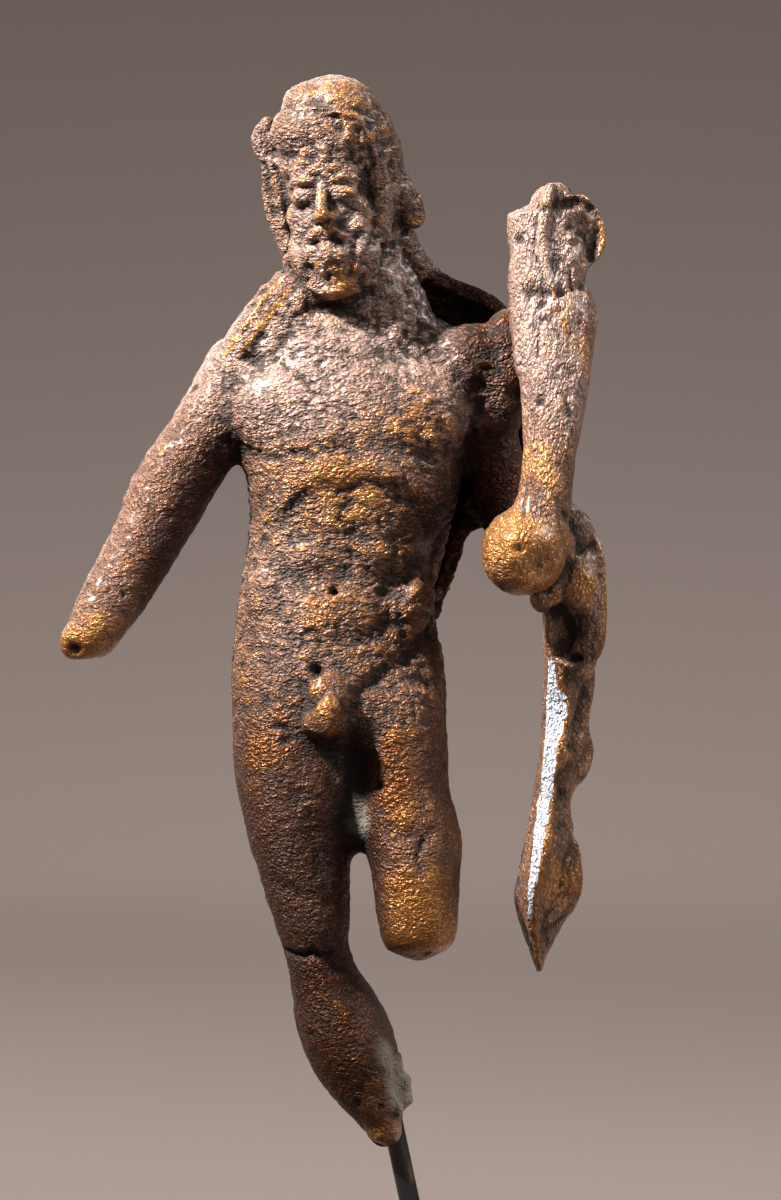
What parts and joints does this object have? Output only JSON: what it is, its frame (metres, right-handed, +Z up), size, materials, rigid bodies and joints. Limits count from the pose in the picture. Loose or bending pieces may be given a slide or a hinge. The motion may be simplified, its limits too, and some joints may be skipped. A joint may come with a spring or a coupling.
{
  "type": "hercules statue",
  "caption": "Weathered bronze statuette of a bearded hero with lion skin and club, broken at limbs, held on a bent rod in a plain foot.",
  "frame": {"origin": "centre of the foot's underside", "axes": "+Z up, the figure faces -Y, +X to the figure's left (the viewer's right)"},
  "size_m": [0.0481, 0.042, 0.1185],
  "materials": {
    "bronze": "corroded cast bronze, dark brown with rubbed golden high points",
    "black_paint": "satin black paint on steel, worn brown on the rod"
  },
  "bodies": {
    "root": {"bronze_figure": "bronze", "display_rod": "black_paint", "display_foot": "black_paint"}
  },
  "joints": []
}
